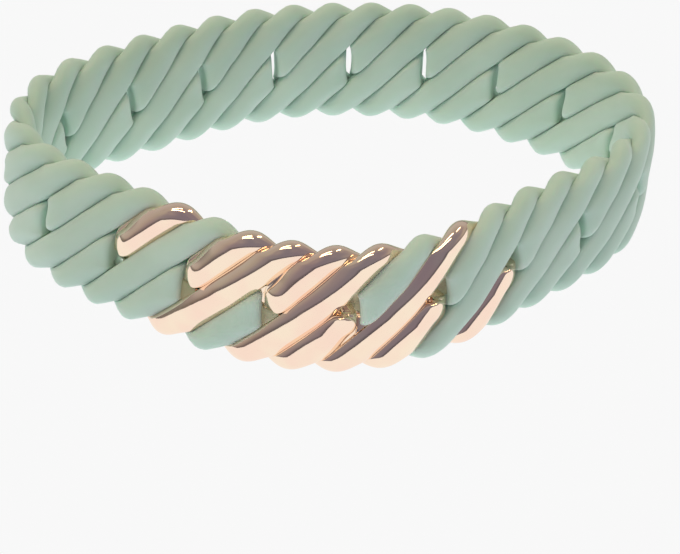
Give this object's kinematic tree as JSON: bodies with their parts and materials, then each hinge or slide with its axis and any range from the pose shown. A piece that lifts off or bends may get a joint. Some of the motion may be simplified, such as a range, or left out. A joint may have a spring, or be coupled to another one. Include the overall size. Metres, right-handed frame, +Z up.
{
  "type": "silicone bracelet",
  "caption": "Stretch bracelet plaited from closed flat links of matt mint silicone, with a polished rose-gold stretch at the front, lying on its side.",
  "frame": {"origin": "on the surface it rests on, under the middle of the loop's outline, with the loop lying on its side", "axes": "+Z up along the loop's own axis, +X along the oval's long way, -Y towards the rose-gold front"},
  "size_m": [0.0778, 0.0534, 0.0161],
  "materials": {
    "rose_gold": "polished rose gold plate",
    "mint_silicone": "matt moulded silicone"
  },
  "bodies": {
    "root": {"gold_link_1": "rose_gold", "gold_link_2": "rose_gold", "gold_link_3": "rose_gold", "silicone_link_01": "mint_silicone", "silicone_link_02": "mint_silicone", "silicone_link_03": "mint_silicone", "silicone_link_04": "mint_silicone", "silicone_link_05": "mint_silicone", "silicone_link_06": "mint_silicone", "silicone_link_07": "mint_silicone", "silicone_link_08": "mint_silicone", "silicone_link_09": "mint_silicone", "silicone_link_10": "mint_silicone", "silicone_link_11": "mint_silicone", "silicone_link_12": "mint_silicone", "silicone_link_13": "mint_silicone", "silicone_link_14": "mint_silicone", "silicone_link_15": "mint_silicone", "silicone_link_16": "mint_silicone"}
  },
  "joints": []
}
